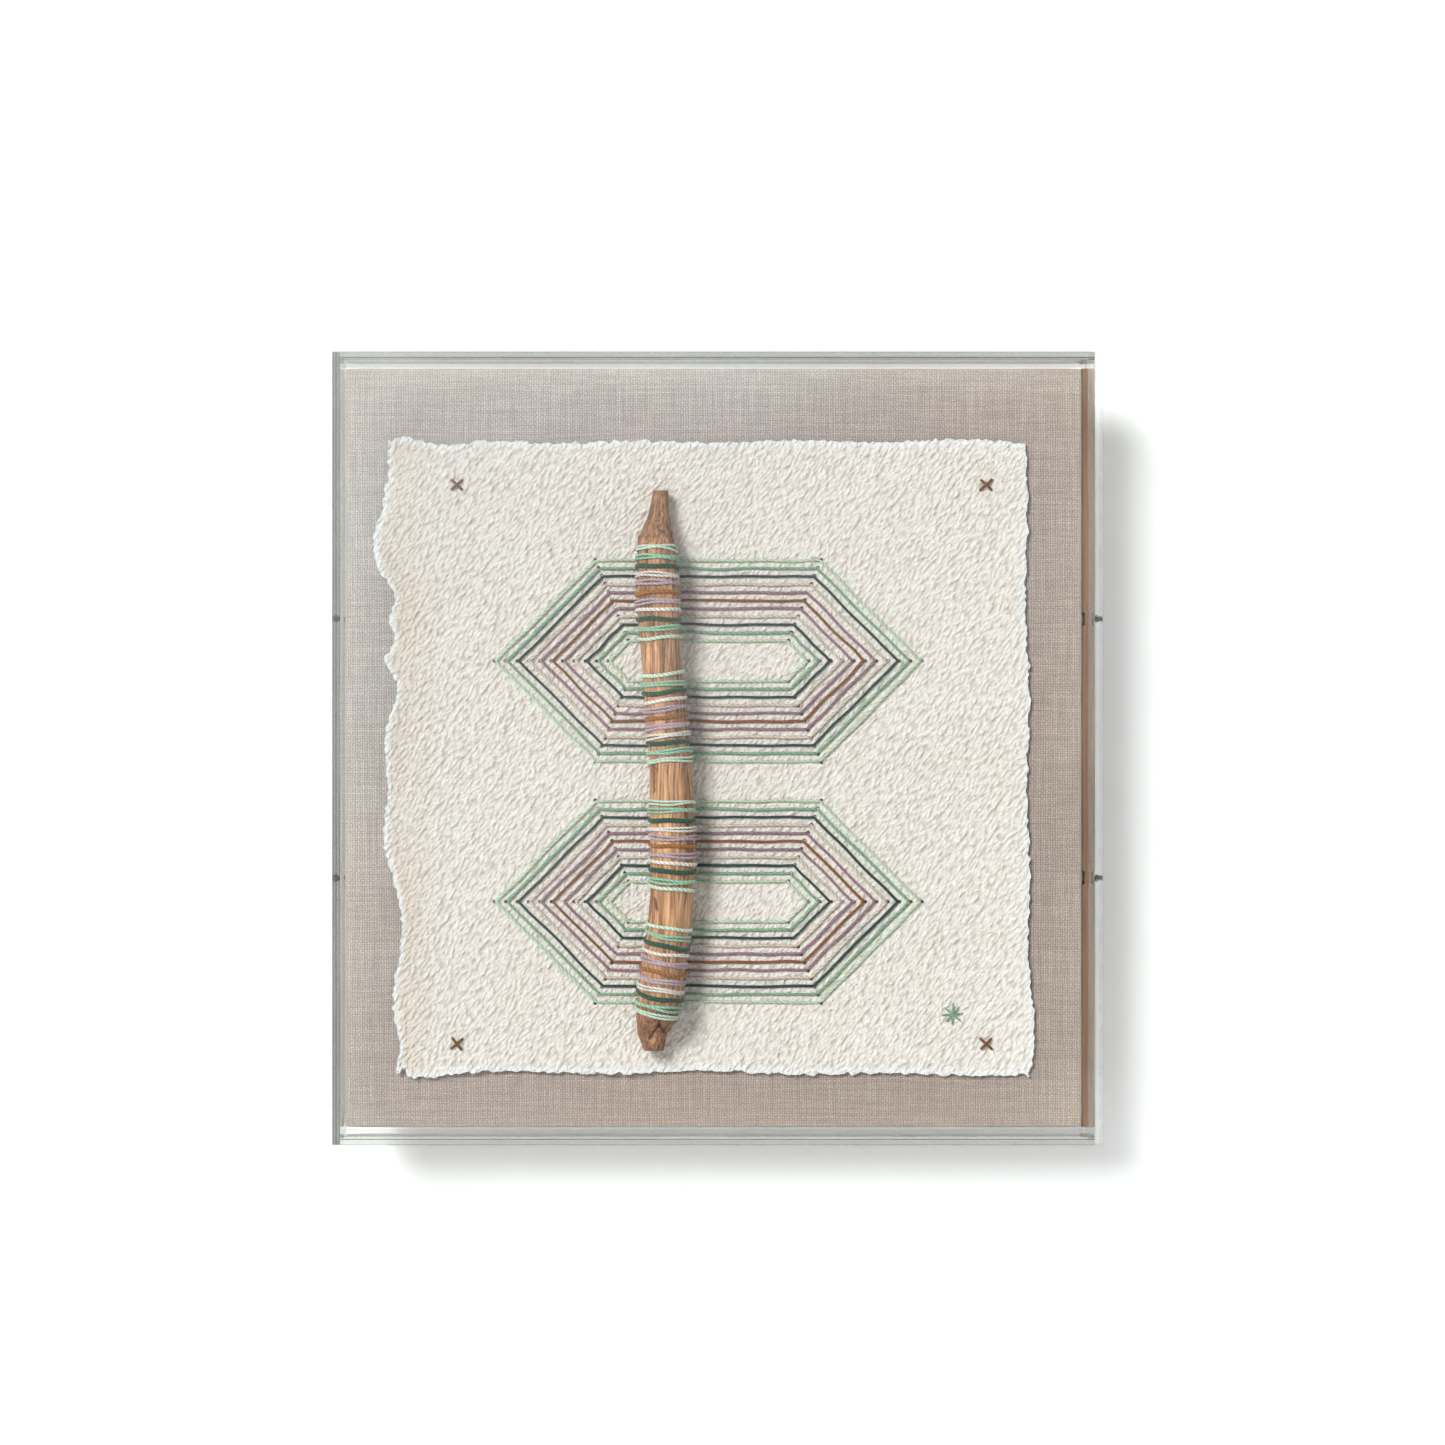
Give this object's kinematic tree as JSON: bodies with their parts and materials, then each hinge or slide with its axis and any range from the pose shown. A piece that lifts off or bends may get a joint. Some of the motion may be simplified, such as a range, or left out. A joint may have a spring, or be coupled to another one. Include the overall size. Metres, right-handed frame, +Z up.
{
  "type": "framed stitched paper and driftwood art",
  "caption": "Clear acrylic box frame over a linen panel, with a floated handmade paper sheet, stitched coloured threads and a thread-wrapped driftwood stick.",
  "frame": {"origin": "middle of the box's bottom, at half its depth", "axes": "+Z up, the clear front faces -Y, +X to the viewer's right"},
  "size_m": [0.305, 0.045, 0.314],
  "materials": {
    "acrylic": "clear polished sheet, cut edges faintly green",
    "linen": "plain woven natural linen",
    "hardboard": "brown pressed board",
    "pine": "bare planed softwood",
    "strip_wood": "brown wood, plain",
    "screw_steel": "dark small screws",
    "nylon": "cream",
    "riser_card": "white card",
    "handmade_paper": "coarse handmade pulp, torn edges",
    "driftwood": "sea-worn bare wood with fine grain and a split",
    "thread_pale_green": "cotton thread",
    "thread_green": "cotton thread",
    "thread_dark_green": "cotton thread",
    "thread_cream": "cotton thread",
    "thread_mauve": "cotton thread",
    "thread_rust": "cotton thread",
    "stitch_brown": "cotton thread"
  },
  "bodies": {
    "root": {"acrylic_front": "acrylic", "acrylic_left": "acrylic", "acrylic_right": "acrylic", "acrylic_top": "acrylic", "acrylic_bottom": "acrylic", "linen_cover": "linen", "backing_board": "hardboard", "strainer_left": "pine", "strainer_right": "pine", "strainer_top": "pine", "strainer_bottom": "pine", "packing_strip": "strip_wood", "screw_left_upper": "screw_steel", "screw_left_lower": "screw_steel", "screw_right_upper": "screw_steel", "screw_right_lower": "screw_steel", "washer_upper": "nylon", "washer_lower": "nylon", "paper_riser": "riser_card", "handmade_paper": "handmade_paper", "driftwood_stick": "driftwood", "upper_thread_01": "thread_pale_green", "upper_thread_02": "thread_green", "upper_thread_03": "thread_dark_green", "upper_thread_04": "thread_cream", "upper_thread_05": "thread_mauve", "upper_thread_06": "thread_rust", "upper_thread_07": "thread_mauve", "upper_thread_08": "thread_cream", "upper_thread_09": "thread_dark_green", "upper_thread_10": "thread_green", "upper_thread_11": "thread_pale_green", "lower_thread_01": "thread_pale_green", "lower_thread_02": "thread_green", "lower_thread_03": "thread_dark_green", "lower_thread_04": "thread_cream", "lower_thread_05": "thread_mauve", "lower_thread_06": "thread_rust", "lower_thread_07": "thread_mauve", "lower_thread_08": "thread_cream", "lower_thread_09": "thread_dark_green", "lower_thread_10": "thread_green", "lower_thread_11": "thread_pale_green", "corner_cross_top_left": "stitch_brown", "corner_cross_top_right": "stitch_brown", "corner_cross_bottom_left": "stitch_brown", "corner_cross_bottom_right": "stitch_brown", "star_stitch": "thread_green"}
  },
  "joints": []
}
